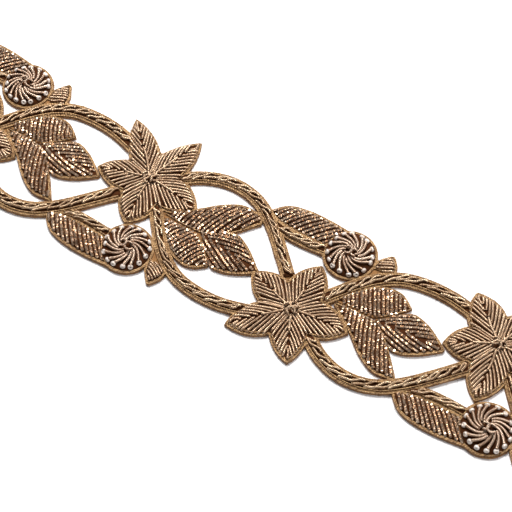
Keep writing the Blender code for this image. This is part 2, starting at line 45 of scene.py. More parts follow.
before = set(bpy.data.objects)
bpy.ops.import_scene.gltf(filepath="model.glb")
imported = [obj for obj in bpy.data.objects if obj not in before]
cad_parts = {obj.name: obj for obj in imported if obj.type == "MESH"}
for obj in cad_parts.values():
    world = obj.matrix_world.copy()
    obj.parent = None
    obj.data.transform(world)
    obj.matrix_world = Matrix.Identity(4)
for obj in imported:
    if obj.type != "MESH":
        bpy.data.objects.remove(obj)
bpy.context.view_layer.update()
chance = random.Random(11)

# %% [markdown]
# ## Where things lie
# The pattern is a half repeat that is moved along by 70 mm and turned over. So each motif is laid out once,
# in the frame of a half repeat: along runs down the trim from the flower's stitch line, and across points
# to the edge where the flower stands. The whole trim has a slight bow. Its place in the model is read from
# the box of the first rosette, so the looks land on the solids with no fitting.

# %% Layout of the half repeats
HALF_REPEAT = 70.0
END_BOW = 1.29
BOW_MIDDLE = 1.5
ROSETTE = (8.4, -18.6)
ROSETTE_RADIUS = 9.9


def side_of(unit):
    """Which edge of the trim the flower of a half repeat stands at: +1 is the upper one."""
    return 1.0 if unit % 2 else -1.0


def bowed(unit, points):
    """Points of one half repeat in the bowed trim, before its origin is set."""
    points = np.asarray(points, float)
    x = unit * HALF_REPEAT + points[..., 0]
    y = side_of(unit) * points[..., 1] + END_BOW * (x / HALF_REPEAT - BOW_MIDDLE) ** 2
    return np.stack([x, y], axis=-1)


rosette_low, rosette_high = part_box("rosette_1")
ORIGIN = bowed(0, ROSETTE) - np.array((rosette_low + rosette_high).xy) / 2 / MM


def lay(unit, points):
    """Points of one half repeat as points of the model, in millimetres."""
    return bowed(unit, points) - ORIGIN


print("The first stitch line is at", np.round(lay(0, (0.0, 0.0)), 1))

# %% [markdown]
# ## Smooth lines
# Leaves and stems are drawn by a few points with a smooth line through them. Working with whole arrays of
# points keeps this quick, and a line is always cut again into even steps before anything is sewn along it.

# %% Lines through points
WALK_STEP = 0.3
TINY = 1e-9
WHOLE = (0.0, 1.0)
FULL_TURN = 2.0 * math.pi


def smooth_line(knots, count, span=WHOLE):
    """A number of points on the smooth line through the knots, over a span of its knots."""
    knots = np.asarray(knots, float)
    spans = len(knots) - 1
    place = np.clip(np.linspace(*span, count), 0.0, 1.0) * spans
    index = np.minimum(place.astype(int), spans - 1)
    t = (place - index)[:, None]
    before, start, end, after = (knots[np.clip(index + step, 0, spans)] for step in (-1, 0, 1, 2))
    return 0.5 * (
        2.0 * start
        + (end - before) * t
        + (2.0 * before - 5.0 * start + 4.0 * end - after) * t ** 2
        + (3.0 * start - before - 3.0 * end + after) * t ** 3
    )


def run_of(path):
    """How far along a path each of its points is."""
    return np.concatenate([[0.0], np.cumsum(np.linalg.norm(np.diff(path, axis=0), axis=1))])


def at_runs(path, runs, way=None):
    """The points of a path at distances along it. Way holds each point's own distance, if it is known."""
    if way is None:
        way = run_of(path)
    return np.stack([np.interp(runs, way, path[:, axis]) for axis in range(path.shape[1])], axis=1)


def even(path, gap):
    """The same path with points an even gap apart."""
    length = run_of(path)[-1]
    return at_runs(path, np.linspace(0.0, length, max(2, round(length / gap)) + 1))


def one_long(vectors):
    return vectors / (np.linalg.norm(vectors, axis=1)[:, None] + TINY)


def left_of(vectors):
    ahead = one_long(vectors)
    return np.stack([-ahead[:, 1], ahead[:, 0]], axis=1)


def sideways(path):
    """The direction to the left of a path in the plan, at each of its points."""
    return left_of(np.gradient(path[:, :2], axis=0))


class Track:
    """A path in the plan, with the distance along it and the direction to its left at each point."""

    def __init__(self, path):
        self.path = path
        self.way = run_of(path)
        self.left = sideways(path)
        self.length = self.way[-1]

    def at(self, runs, aside=0.0):
        """Points at the given distances along the path, moved to its left."""
        left = at_runs(self.left, runs, self.way)
        return at_runs(self.path, runs, self.way) + left * np.reshape(aside, (-1, 1))


# The next three give directions: at an angle in radians, at a heading in degrees, and at many angles.
def toward(angle):
    return np.array((math.cos(angle), math.sin(angle)))


def ahead_of(heading):
    return toward(math.radians(heading))


def spokes(angles):
    return np.column_stack([np.cos(angles), np.sin(angles)])


# %% [markdown]
# ## The motifs
# A petal is named by where its tip points from the heart of its flower. A leaf lies between two smooth
# lines from its root to its tip. A stem follows its middle line. The small differences from one half repeat
# to the next are those of handwork, and each is one number in a table.

# %% Flower layout
Flower = namedtuple("Flower", "middle petals")
Petal = namedtuple("Petal", "heading reach fullness")
FLOWERS = (
    Flower((0.3, 9.9), (
        Petal(68, 22.0, 1.2), Petal(135, 24.5, 1.1), Petal(198, 20.5, 1.0),
        Petal(273, 20.0, 1.0), Petal(358, 22.0, 1.0),
    )),
    Flower((0.7, 9.3), (
        Petal(71, 24.6, 1.4), Petal(134, 27.0, 1.15), Petal(195, 20.9, 1.05),
        Petal(274, 19.8, 0.95), Petal(354, 21.6, 1.0),
    )),
    Flower((0.9, 10.6), (
        Petal(65, 20.0, 1.1), Petal(138, 23.6, 0.95), Petal(199, 20.6, 0.95),
        Petal(273, 20.8, 1.0), Petal(355, 21.3, 1.0),
    )),
    Flower((-1.4, 11.0), (
        Petal(64, 20.5, 1.1), Petal(134, 21.6, 0.9), Petal(204, 18.6, 0.95),
        Petal(275, 22.6, 1.0), Petal(354, 21.0, 1.0),
    )),
)
NOTCH_REACH = 11.8
PETAL_BORDER = 1.5


def petals_of(unit):
    """The petals of one flower, each with the headings of the notches before and after it."""
    petals = FLOWERS[unit].petals
    rows = []
    for petal, before, after in zip(petals, petals[-1:] + petals[:-1], petals[1:] + petals[:1]):
        low = petal.heading - ((petal.heading - before.heading) % 360) / 2
        high = petal.heading + ((after.heading - petal.heading) % 360) / 2
        rows.append((petal, low, high))
    return rows


def from_flower(unit, heading, reach):
    """A point of the half repeat at a heading and a reach from its flower's middle."""
    return np.array(FLOWERS[unit].middle) + reach * ahead_of(heading)


def edge_reach(petal, share):
    """How far out a petal's edge is, from the notch (share 0) to the tip (share 1)."""
    return NOTCH_REACH + (petal.reach - NOTCH_REACH) * share ** petal.fullness


def petal_edge(unit, petal, notch, shares):
    """The points of one side of a petal at shares of the turn from its notch to its tip."""
    turn = petal.heading - notch
    return [from_flower(unit, notch + turn * share, edge_reach(petal, share)) for share in shares]


# %% Outlines of the motifs
LEAF_EDGES = {
    "single_leaf": (
        ((12.6, 1.4), (21.5, 7.8), (29.0, 14.2), (36.0, 17.7), (43.8, 17.2)),
        ((12.6, 0.2), (21.0, -0.2), (29.5, 0.8), (37.3, 8.0), (43.8, 16.0)),
    ),
    "rear_leaf": (
        ((12.4, -0.4), (20.0, -0.4), (27.0, -0.9), (32.0, -4.6), (36.8, -9.4)),
        ((12.4, -1.6), (17.3, -7.8), (23.5, -12.7), (31.0, -13.9), (37.0, -10.2)),
    ),
    "tip_leaf": (
        ((27.6, 0.6), (32.3, 4.0), (38.5, 7.7), (46.0, 5.2), (53.6, -0.4)),
        ((27.6, -0.6), (31.8, -4.2), (37.8, -8.6), (45.5, -6.8), (53.6, -1.4)),
    ),
    "outer_leaf": (
        ((45.0, 21.4), (50.0, 26.2), (58.0, 28.1), (68.0, 28.1), (82.0, 26.7)),
        ((45.0, 20.4), (50.0, 18.4), (58.0, 17.8), (68.0, 17.8), (82.0, 18.0)),
    ),
    "bud": (
        ((17.2, -17.6), (17.9, -22.6), (21.6, -28.0)),
        ((25.8, -19.0), (25.2, -23.6), (22.6, -28.0)),
    ),
}
LOWER_SWELL = ((0.0, 0.0), (0.0, 0.0), (1.0, 0.0), (0.9, -1.8), (1.4, -1.8))
LEAF_POINTS = 40
PETAL_POINTS = 12
ROSETTE_POINTS = 60
LOOP_STEP = 0.5
TURN_SPAN = 2


def leaf_outline(link, name):
    """The edge of a leaf's cloth, once round."""
    upper, lower = (np.array(edge) for edge in LEAF_EDGES[name])
    slide = np.linspace(0.0, 1.0, len(upper))
    root_move, tip_move = {
        "outer_leaf": (0.5 * link.lift, link.lift),
        "tip_leaf": (0.0, -link.drop),
        "bud": (0.0, link.blunt),
    }.get(name, (0.0, 0.0))
    for edge in (upper, lower):
        edge[:, 1] += root_move + (tip_move - root_move) * slide
    if name == "single_leaf":
        lower += link.swell * np.array(LOWER_SWELL)
    return np.concatenate([smooth_line(lower, LEAF_POINTS), smooth_line(upper, LEAF_POINTS)[::-1]])


def flower_outline(unit):
    shares = np.linspace(0.0, 1.0, PETAL_POINTS)
    loop = []
    for petal, low, high in petals_of(unit):
        loop += petal_edge(unit, petal, low, shares) + petal_edge(unit, petal, high, shares[-2:0:-1])
    return np.array(loop)


def rosette_outline():
    return np.array(ROSETTE) + ROSETTE_RADIUS * spokes(np.linspace(0.0, FULL_TURN, ROSETTE_POINTS))


def drawn_in(loop, inset):
    """A closed loop moved inwards, whichever way round it runs. Its sharp turns are softened a little."""
    path = even(np.concatenate([loop, loop[:1]]), LOOP_STEP)
    left = left_of(np.roll(path[:-1], -TURN_SPAN, axis=0) - np.roll(path[:-1], TURN_SPAN, axis=0))
    area = np.sum(path[:-1, 0] * path[1:, 1] - path[1:, 0] * path[:-1, 1])
    moved = path[:-1] + math.copysign(inset, area) * left
    return np.concatenate([moved, moved[:1]])


# %% Stems
Stem = namedtuple("Stem", "half_width points")
STEMS = {
    "arc": Stem(2.8, (
        (8.0, 14.0), (16.0, 19.8), (24.0, 23.0), (32.0, 23.5),
        (40.0, 21.4), (47.7, 16.3), (55.2, 9.2), (63.5, 0.6),
    )),
    "stem": Stem(2.8, (
        (7.0, 2.6), (11.8, -3.6), (16.0, -8.8), (21.5, -14.4),
        (29.0, -18.9), (38.0, -20.7), (48.0, -20.4), (58.0, -18.0),
    )),
    "twig": Stem(2.2, ((46.0, 18.4), (54.0, 16.4), (62.0, 16.0), (74.0, 17.0))),
}
CROWN_FORWARD = 0.7
STEM_POINTS = 200

Link = namedtuple(
    "Link", "unit arc stem breadth rise lift drop swell blunt", defaults=(WHOLE, WHOLE, 1.0, 0, 0, 0, 0, 0)
)
LINKS = (
    Link(-1, arc=(0.60, 1.0), stem=(0.86, 1.0)),
    Link(0, breadth=1.07, rise=2.0, lift=0.8, blunt=0.2),
    Link(1, breadth=0.93, lift=-0.6, drop=2.4, swell=1.0, blunt=1.2),
    Link(2, breadth=0.97, rise=0.2, lift=0.2, blunt=2.4),
    Link(3, arc=(0.0, 0.2), stem=(0.0, 0.42), blunt=1.0),
)


def stem_line(link, name):
    """The middle line of a stem and half the width of the cloth under it."""
    half_width, points = STEMS[name]
    knots = np.array(points)
    if name == "arc":
        knots[:, 1] += link.rise * np.sin(math.pi * np.linspace(0.0, 1.0, len(knots)) ** CROWN_FORWARD)
    if name == "twig":
        knots[:, 1] += link.lift
    else:
        half_width *= link.breadth
    span = {"arc": link.arc, "stem": link.stem}.get(name, WHOLE)
    return even(lay(link.unit, smooth_line(knots, STEM_POINTS, span)), WALK_STEP), half_width


# %% [markdown]
# ## Padding
# Under the wire lies a firm pad of felt and cotton, which gives each motif its crown. The solids have that
# form, with raised rows that stand for the wire. The pad is a lower copy of the solid whose rows are
# smoothed away, so that real wire can take their place. It reaches down to the cloth.

# %% Pads from the solids
CLOTH_TOP = 1.2
PAD_BASE = 1.5
PAD_SHARE = 0.72
PAD_SINK = 0.05
BASE_BAND = 0.1
SMOOTHINGS = 3
WELD = 0.005
ABOVE_ALL = 20.0


def pad_from(node):
    """A smoothed and lowered copy of a solid, in millimetres."""
    mesh = bmesh.new()
    mesh.from_mesh(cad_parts[node].data)
    bmesh.ops.scale(mesh, vec=(1.0 / MM,) * 3, verts=mesh.verts)
    bmesh.ops.remove_doubles(mesh, verts=mesh.verts, dist=WELD)
    top = [vertex for vertex in mesh.verts if vertex.co.z > PAD_BASE + BASE_BAND]
    for _ in range(SMOOTHINGS):
        bmesh.ops.smooth_vert(mesh, verts=top, factor=0.5, use_axis_z=True)
    for vertex in mesh.verts:
        above = max(0.0, vertex.co.z - PAD_BASE)
        vertex.co.z = CLOTH_TOP - PAD_SINK + PAD_SHARE * above
    bmesh.ops.recalc_face_normals(mesh, faces=mesh.faces)
    return mesh


def box_of(mesh):
    places = [vertex.co for vertex in mesh.verts]
    return np.min(places, axis=0), np.max(places, axis=0)


pads = {node: pad_from(node) for node in sorted(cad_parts) if node != "ground"}
pad_trees = {node: BVHTree.FromBMesh(mesh) for node, mesh in pads.items()}
pad_boxes = {node: box_of(mesh) for node, mesh in pads.items()}
print("Pads:", len(pads))


def height_on(node, point):
    """The height of a pad's top at a point, or None beside the pad."""
    low, high = pad_boxes[node]
    if not (low[0] <= point[0] <= high[0] and low[1] <= point[1] <= high[1]):
        return None
    above = Vector((point[0], point[1], ABOVE_ALL))
    place = pad_trees[node].ray_cast(above, Vector((0.0, 0.0, -1.0)))[0]
    return None if place is None else place.z


def pad_at(point):
    """The name of the pad at a point and the height of its top, or nothing and the cloth's top."""
    for node in pads:
        height = height_on(node, point)
        if height is not None:
            return node, height
    return None, CLOTH_TOP


# %% [markdown]
# ## Wire and thread
# Thousands of purls and stitches are the same thing: a thin tube along a short line. One tube is made with
# a grid that is rolled up, its seam and its two ends closed. Each purl then takes a copy of its points, set
# along the purl's own line with array sums, and a spool joins all the copies into one mesh. Every tube
# carries how far along the wire a point is and a tone of its own, which the finishes use.

# %% One tube, wound many times
Tube = namedtuple("Tube", "ring angle thick faces places")
JOINED = 0.001


def as_arrays(mesh):
    """The points and the faces of a mesh that is closed up and turned outwards."""
    bmesh.ops.remove_doubles(mesh, verts=mesh.verts, dist=JOINED)
    bmesh.ops.recalc_face_normals(mesh, faces=mesh.faces)
    mesh.verts.index_update()
    points = np.array([vertex.co for vertex in mesh.verts])
    return points, [[vertex.index for vertex in face.verts] for face in mesh.faces]


@functools.cache
def rolled_tube(rings, sides):
    """A closed tube of unit radius as arrays. Its first and last ring are drawn together to a point."""
    mesh = bmesh.new()
    bmesh.ops.create_grid(mesh, x_segments=rings, y_segments=sides, size=0.5)
    thread = mesh.loops.layers.uv.new("thread")
    for face in mesh.faces:
        for corner in face.loops:
            corner[thread].uv = corner.vert.co.xy + Vector((0.5, 0.5))
    for vertex in mesh.verts:
        ring = round((vertex.co.x + 0.5) * rings)
        angle = FULL_TURN * (vertex.co.y + 0.5)
        thick = 0.0 if ring in (0, rings) else 1.0
        vertex.co = (ring, thick * math.cos(angle), thick * math.sin(angle))
    points, faces = as_arrays(mesh)
    places = np.array([corner[thread].uv for face in mesh.faces for corner in face.loops])
    mesh.free()
    return Tube(
        ring=np.round(points[:, 0]).astype(int),
        angle=np.arctan2(points[:, 2], points[:, 1]),
        thick=np.hypot(points[:, 1], points[:, 2]),
        faces=faces,
        places=places,
    )


class Spool:
    """Tubes of wire or thread, gathered to make one mesh."""

    def __init__(self):
        self.points = []
        self.faces = []
        self.places = []
        self.tones = []
        self.count = 0

    def add(self, points, faces, places, tone):
        """Add a shape: its points, its faces, the place on the thread of each corner, and its tone."""
        self.faces += [[index + self.count for index in face] for face in faces]
        self.count += len(points)
        self.points.append(points)
        self.places.append(places)
        self.tones.append(np.full(len(points), tone))

    def wind(self, path, radius, sides, tone, turns=0.0, thick=1.0):
        """Add a tube along a path. Turns twist its rings and thick scales them."""
        tube = rolled_tube(len(path) - 1, sides)
        ahead = one_long(np.gradient(path, axis=0))
        left = one_long(np.cross((0.0, 0.0, 1.0), ahead))
        above = np.cross(ahead, left)
        angle = tube.angle + np.broadcast_to(turns, len(path))[tube.ring]
        reach = radius * tube.thick * np.broadcast_to(thick, len(path))[tube.ring]
        points = (
            path[tube.ring]
            + (reach * np.cos(angle))[:, None] * left[tube.ring]
            + (reach * np.sin(angle))[:, None] * above[tube.ring]
        )
        self.add(points, tube.faces, tube.places * (run_of(path)[-1], 1.0), tone)

    def mesh(self, name, smooth):
        data = bpy.data.meshes.new(name)
        data.from_pydata((np.concatenate(self.points) * MM).tolist(), [], self.faces)
        data.uv_layers.new(name="thread").data.foreach_set("uv", np.concatenate(self.places).ravel())
        data.attributes.new("tone", "FLOAT", "POINT").data.foreach_set("value", np.concatenate(self.tones))
        if smooth:
            data.shade_smooth()
        return data


# %% [markdown]
# ## Finishes
# A finish is written as arithmetic. A wire stands for a value that changes over the surface, and adding or
# multiplying two of them adds the Math nodes. The pale and the deep colour of a finish are blended by a Mix
# node, as a Math node would turn them grey.

# %% Shader arithmetic
class Wire:
    """A value in a finish's nodes, on which arithmetic adds Math nodes."""

    def __init__(self, finish, socket):
        self.finish = finish
        self.socket = socket

    def math(self, operation, *values):
        return self.finish.add("ShaderNodeMath", {"operation": operation}, dict(enumerate(values)))

    def __add__(self, other):
        return self.math("ADD", self, other)

    def __sub__(self, other):
        return self.math("SUBTRACT", self, other)

    def __rsub__(self, other):
        return self.math("SUBTRACT", other, self)

    def __mul__(self, other):
        return self.math("MULTIPLY", self, other)

    def sine(self):
        return self.math("SINE", self)

    def wave(self):
        return self.sine() * 0.5 + 0.5

    def clamped(self):
        return self.finish.add("ShaderNodeClamp", {}, {"Value": self, "Min": 0.0, "Max": 1.0})


class Finish:
    """A material and the few kinds of node that its recipe needs."""

    def __init__(self, name):
        self.material = bpy.data.materials.new(name)
        self.material.use_nodes = True
        self.nodes = self.material.node_tree.nodes
        self.links = self.material.node_tree.links
        self.shader = self.nodes["Principled BSDF"]

    def plug(self, socket, value):
        if isinstance(value, Wire):
            self.links.new(value.socket, socket)
        else:
            socket.default_value = value

    def add(self, kind, settings, sockets, output=0):
        """Add a node of any kind: its settings first, then the values or links of its sockets."""
        node = self.nodes.new(kind)
        for name, value in settings.items():
            setattr(node, name, value)
        for name, value in sockets.items():
            self.plug(node.inputs[name], value)
        return Wire(self, node.outputs[output])

    def split(self, vector):
        """The first two parts of a vector."""
        first = self.add("ShaderNodeSeparateXYZ", {}, {"Vector": vector})
        return first, Wire(self, first.socket.node.outputs[1])

    def thread(self):
        """How far along the wire a point is, in millimetres, and its share of the way round."""
        return self.split(self.add("ShaderNodeUVMap", {"uv_map": "thread"}, {}))

    def underside(self, around):
        """How much the surface of a wire faces down, for painted shade: 0 on its top, a half at its sides, 1
        below.
        """
        return 1.0 - (around * FULL_TURN).wave()

    def tone(self):
        return self.add("ShaderNodeAttribute", {"attribute_name": "tone"}, {}, output=2)

    def place(self):
        return self.add("ShaderNodeTexCoord", {}, {}, output=3)

    def cloud(self, size, detail=2.0):
        """Soft noise whose lumps are about as wide as the given size in millimetres."""
        sockets = {"Vector": self.place(), "Scale": 1.0 / (size * MM), "Detail": detail}
        return self.add("ShaderNodeTexNoise", {}, sockets)

    def paint(self, shade, pale, deep, **values):
        """The material, pale where the shade is 0 and deep where it is 1, with other sockets set by name."""
        node = self.nodes.new("ShaderNodeMix")
        node.data_type = "RGBA"
        for index, value in ((0, shade), (6, (*pale, 1.0)), (7, (*deep, 1.0))):
            self.plug(node.inputs[index], value)
        self.set(base_color=Wire(self, node.outputs[2]), **values)
        return self.material

    def set(self, **values):
        """Set the shader's sockets, with words joined by an underscore."""
        for name, value in values.items():
            self.plug(self.shader.inputs[name.replace("_", " ").title()], value)

    def bump(self, height, depth):
        """Raise the surface by a height from 0 to 1 times a depth in millimetres."""
        normal = self.add("ShaderNodeBump", {}, {"Distance": depth * MM, "Height": height})
        self.set(normal=normal)


# %% [markdown]
# ## Gilt wire
# A purl is wire wound as tightly as a spring, so it shows fine rings across it, which are taken from the
# distance along the wire. Light runs along it as one pale streak. Shade is painted into its colour: the
# grooves between the turns and the side that faces down are painted brown. Handling has also left each purl
# more or less tarnished than the next. In each finish a shade of 0 is clean metal and 1 is a dull brown,
# which stands for both the painted shade and the tarnish.

# %% Purl finishes
COIL_PITCH = 0.42
COIL_DEPTH = 0.10
# How much painted shade lies in the grooves between the turns and on the side that faces down.
PAINTED_GROOVE_SHADE = 0.40
PAINTED_UNDERSIDE_SHADE = 0.8
WORN_SHADE = 0.60


def purl_finish(name, pale, deep, patches):
    """Smooth purl. Patches is how much of the tarnish lies in patches, and the rest differs by the purl."""
    finish = Finish(name)
    run, around = finish.thread()
    tone = finish.tone()
    coil = (run * (FULL_TURN / COIL_PITCH) + around * FULL_TURN).wave()
    worn = (finish.cloud(3.0) * 1.6 - 0.3) * patches + (1.0 - tone) * (1.0 - patches)
    # Painted shade: in the grooves between the turns and on the side of the wire that faces down.
    groove_painted_shade = (1.0 - coil) * PAINTED_GROOVE_SHADE
    below = finish.underside(around) * PAINTED_UNDERSIDE_SHADE
    shade = (worn * WORN_SHADE + groove_painted_shade + below).clamped()
    finish.bump(coil, COIL_DEPTH)
    return finish.paint(shade, pale, deep, metallic=0.92, roughness=shade * 0.18 + 0.22)


petal_purl = purl_finish("petal_purl", (0.92, 0.69, 0.47), (0.13, 0.042, 0.008), patches=0.5)
rosette_purl = purl_finish("rosette_purl_wire", (1.0, 0.79, 0.61), (0.15, 0.055, 0.015), patches=0.35)
rope_purl = purl_finish("rope_purl", (0.95, 0.73, 0.49), (0.15, 0.055, 0.012), patches=0.35)

# %% [markdown]
# Check purl is wound on a square needle, so it has facets that glint one by one. Its tubes are turned and
# shaded flat. Glints are also painted: each facet is a little paler or darker, which a Voronoi cell as small
# as a facet gives, and shade is painted on the side that faces down.

# %% Check purl finish
FACET = 0.6


def check_finish():
    finish = Finish("check_purl_wire")
    around = finish.thread()[1]
    cells = {"Vector": finish.place(), "Scale": 1.0 / (FACET * MM)}
    facet = finish.add("ShaderNodeTexVoronoi", {}, cells, output=1)
    # Painted glints from the Voronoi cells, and painted shade on the side that faces down.
    painted_glint = finish.add("ShaderNodeSeparateColor", {}, {"Color": facet})
    uneven = finish.cloud(5.0) * 0.5 + (0.5 - finish.tone()) * 0.3
    shade = ((1.0 - painted_glint) * 0.65 + uneven - 0.20 + finish.underside(around) * 0.4).clamped()
    roughness = shade * 0.12 + 0.24
    return finish.paint(shade, (1.0, 0.77, 0.56), (0.12, 0.038, 0.008), metallic=0.95, roughness=roughness)


check_purl = check_finish()

# %% [markdown]
# Gold thread is a strip of metal wound on yellow silk. It is softer and more ochre than the wire, its plies
# turn round it, and it is only half metal to the eye. Shade is painted between its plies and on its side
# that faces down. The cloth under it is a plain weave of such thread, with painted shade where the weave
# dips. The felt of the padding shows only between the wires, as a brown darkened almost to black: painted
# shade over the felt's own colour.

# %% Thread, cloth and padding finishes
PLY_PITCH = 0.9
PLIES = 2.0
PLY_DEPTH = 0.12
WEAVE_PITCH = 0.6
WEAVE_DEPTH = 0.15
FUZZ_SIZE = 0.5
FUZZ_DEPTH = 0.2


def thread_finish():
    finish = Finish("edging_thread")
    run, around = finish.thread()
    plies = (run * (FULL_TURN / PLY_PITCH) + around * (PLIES * FULL_TURN)).wave()
    uneven = (1.0 - finish.tone()) * 0.55 + finish.cloud(1.4) * 0.7
    # Painted shade between the plies and on the side that faces down, over tone that differs by chance.
    shade = ((1.0 - plies) * 0.35 + uneven - 0.40 + finish.underside(around) * 0.7).clamped()
    finish.bump(plies, PLY_DEPTH)
    roughness = shade * 0.15 + 0.36
    return finish.paint(shade, (0.50, 0.31, 0.14), (0.085, 0.028, 0.006), metallic=0.45, roughness=roughness)


def cloth_finish():
    """A plain weave: one set of waves down the cloth and one across, each over and under by turns."""
    finish = Finish("ground_weave")
    down, across = (part * (FULL_TURN / (WEAVE_PITCH * MM)) for part in finish.split(finish.place()))
    weave = down.sine() * across.sine() * 0.5 + 0.5
    # Painted shade where the weave dips, over patches that differ by chance.
    shade = ((1.0 - weave) * 0.5 + finish.cloud(2.5, 4.0) * 0.9 - 0.25).clamped()
    finish.bump(weave, WEAVE_DEPTH)
    return finish.paint(shade, (0.38, 0.185, 0.055), (0.10, 0.034, 0.007), metallic=0.2, roughness=0.62)


def felt_finish():
    finish = Finish("padding_felt")
    fuzz = finish.cloud(FUZZ_SIZE, 4.0)
    finish.shader.inputs["Specular IOR Level"].default_value = 0.1
    finish.bump(fuzz, FUZZ_DEPTH)
    # Painted shade: the felt is darkened almost to black, so the gaps between the wires look deep.
    return finish.paint(fuzz, (0.080, 0.026, 0.007), (0.028, 0.008, 0.002), roughness=0.9)


edging_thread = thread_finish()
ground_weave = cloth_finish()
padding_felt = felt_finish()

# %% [markdown]
# The beads are opaque pearl glass: a pale body with a clear coat over it.

# %% Bead finish
def pearl_finish():
    finish = Finish("pearl_bead")
    shade = (finish.cloud(0.8) * 0.6 + (1.0 - finish.tone()) * 0.5).clamped()
    finish.set(roughness=0.22, coat_weight=0.8, coat_roughness=0.08)
    return finish.paint(shade, (0.80, 0.73, 0.67), (0.46, 0.38, 0.32))


pearl_bead = pearl_finish()

# %% [markdown]
# ## Putting a piece in the model
# Every piece rides on the trim's one body, and most are named after the solid they go with. A pad replaces
# its solid, and the wire over it goes with it.

# %% Placing pieces
made_triangles = {}


def place_piece(name, data, material, replaced=()):
    """Link a mesh as a piece of the trim and hide the solids it replaces."""
    piece = bpy.data.objects.new(name, data)
    bpy.context.scene.collection.objects.link(piece)
    data.materials.append(material)
    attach(piece, "root")
    if replaced:
        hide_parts(*replaced)
    data.calc_loop_triangles()
    made_triangles[name] = len(data.loop_triangles)
    return piece


def place_spool(name, spool, material, smooth=True):
    """Make one piece of all that is on a spool."""
    place_piece(name, spool.mesh(name, smooth), material)
    print(f"{name}: {len(spool.points)} in one piece")


for node, mesh in pads.items():
    data = bpy.data.meshes.new(f"{node}_padding")
    bmesh.ops.scale(mesh, vec=(MM, MM, MM), verts=mesh.verts)
    mesh.to_mesh(data)
    data.shade_smooth()
    padding = place_piece(f"{node}_padding", data, padding_felt, [node])
print("Padding triangles:", sum(made_triangles.values()))

# %% [markdown]
# ## Ground cloth
# The cloth is one sheet with the outline and the gaps of its solid. The top of the solid is kept, its long
# edges are cut so that it can rise and fall a little, and it is drawn down to a flat underside. Cut cloth
# is never quite straight, so the outer points are also moved by a hair.

# %% Ground cloth
LONG_EDGE = 1.6
RIPPLE_SIZE = 6.0
RIPPLE = 0.08
FRAY_SIZE = 0.9
FRAY = 0.12
CLOTH_SINK = 0.1


def ground_sheet():
    mesh = bmesh.new()
    mesh.from_mesh(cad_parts["ground"].data)
    bmesh.ops.remove_doubles(mesh, verts=mesh.verts, dist=WELD * MM)
    below = [face for face in mesh.faces if face.normal.z < 0.5]
    bmesh.ops.delete(mesh, geom=below, context="FACES")
    for _ in range(2):
        long_edges = [edge for edge in mesh.edges if edge.calc_length() > LONG_EDGE * MM]
        bmesh.ops.subdivide_edges(mesh, edges=long_edges, cuts=1)
    bmesh.ops.triangulate(mesh, faces=mesh.faces)
    area = sum(face.calc_area() for face in mesh.faces)
    for vertex in mesh.verts:
        ripple = noise.noise(vertex.co / (RIPPLE_SIZE * MM))
        fray = noise.noise_vector(vertex.co / (FRAY_SIZE * MM)) * FRAY * MM * vertex.is_boundary
        vertex.co += Vector((fray.x, fray.y, (RIPPLE * ripple - CLOTH_SINK) * MM))
    lower = bmesh.ops.extrude_face_region(mesh, geom=list(mesh.faces))
    for item in lower["geom"]:
        if isinstance(item, bmesh.types.BMVert):
            item.co.z = 0.0
    bmesh.ops.recalc_face_normals(mesh, faces=mesh.faces)
    data = bpy.data.meshes.new("ground_cloth")
    mesh.to_mesh(data)
    mesh.free()
    return data, area


ground_data, ground_area = ground_sheet()
ground_cloth = place_piece("ground_cloth", ground_data, ground_weave, ["ground"])
print("Cloth area in square centimetres:", round(ground_area * 1e4, 1))

# %% [markdown]
# ## Laying a purl
# A purl is cut to length, threaded on a needle like a bead and pulled down at both ends. So its line
# follows the top of the pad at a little less than its own radius, and its two ends turn down.

# %% Purls on a pad
PURL_RADIUS = 0.52
PURL_SIDES = 8
RING_GAP = 1.0
CLOSE_RING_GAP = 0.8
SHOULDER = 0.35
END_DROP = 0.8


def purl_line(plan, node, radius, gap, lift):
    """A line in the plan as one over a pad, with rings that are closer together at its rounded ends."""
    length = run_of(plan)[-1]
    inner = np.linspace(SHOULDER * radius, length - SHOULDER * radius, max(2, round(length / gap)) + 1)
    plan = at_runs(plan, np.concatenate([[0.0], inner, [length]]))
    heights = [height_on(node, point) for point in plan]
    heights = np.array([CLOTH_TOP if height is None else height for height in heights])
    heights[1:-1] = (heights[:-2] + 2.0 * heights[1:-1] + heights[2:]) / 4.0
    return np.column_stack([plan, heights + lift * radius])


def lay_purl(spool, plan, node, radius=PURL_RADIUS, gap=RING_GAP, lift=0.9, climb=0.0):
    """One purl along a line in the plan, lifted by a share of its radius and turned down at both ends."""
    line = purl_line(plan, node, radius, gap, lift)
    line[:, 2] += climb * np.linspace(0.0, 1.0, len(line))
    line[[0, -1], 2] -= END_DROP * radius
    line[[1, -2], 2] -= SHOULDER * radius
    spool.wind(line, radius, PURL_SIDES, chance.random())


# %% [markdown]
# ## Flowers
# A petal has a short raised purl down its vein. On each side long purls leave the vein one after the other
# and run out to the edge, side by side. Each leaves at a wider angle and turns towards the tip on its way
# out, and those near the tip lie almost along the petal. So a line is walked from the vein until it meets
# the border.

# %% Petal purls
PURL_PITCH = 1.18
FIRST_START = 1.9
VEIN_SHARE = 0.86
VEIN_ROOM = 0.30
TIP_LEAN = 13.0
LEAN_POWER = 0.75
BORDER_OVERLAP = 0.15
LONGEST_WALK = 60
SHORTEST_WALK = 5
SWAY_POINTS = 12
NOTCH_PURL_PAST = 0.4


def inside_petal(unit, petal, notch, point):
    """Whether a point lies between a notch line and the far side of a petal, within its border."""
    offset = point - np.array(FLOWERS[unit].middle)
    heading = math.degrees(math.atan2(offset[1], offset[0]))
    turn = (heading - petal.heading + 180.0) % 360.0 - 180.0
    share = min(1.0 - turn / (notch - petal.heading), 1.0)
    if share < 0.0:
        return False
    return np.hypot(*offset) < edge_reach(petal, share) - PETAL_BORDER + BORDER_OVERLAP


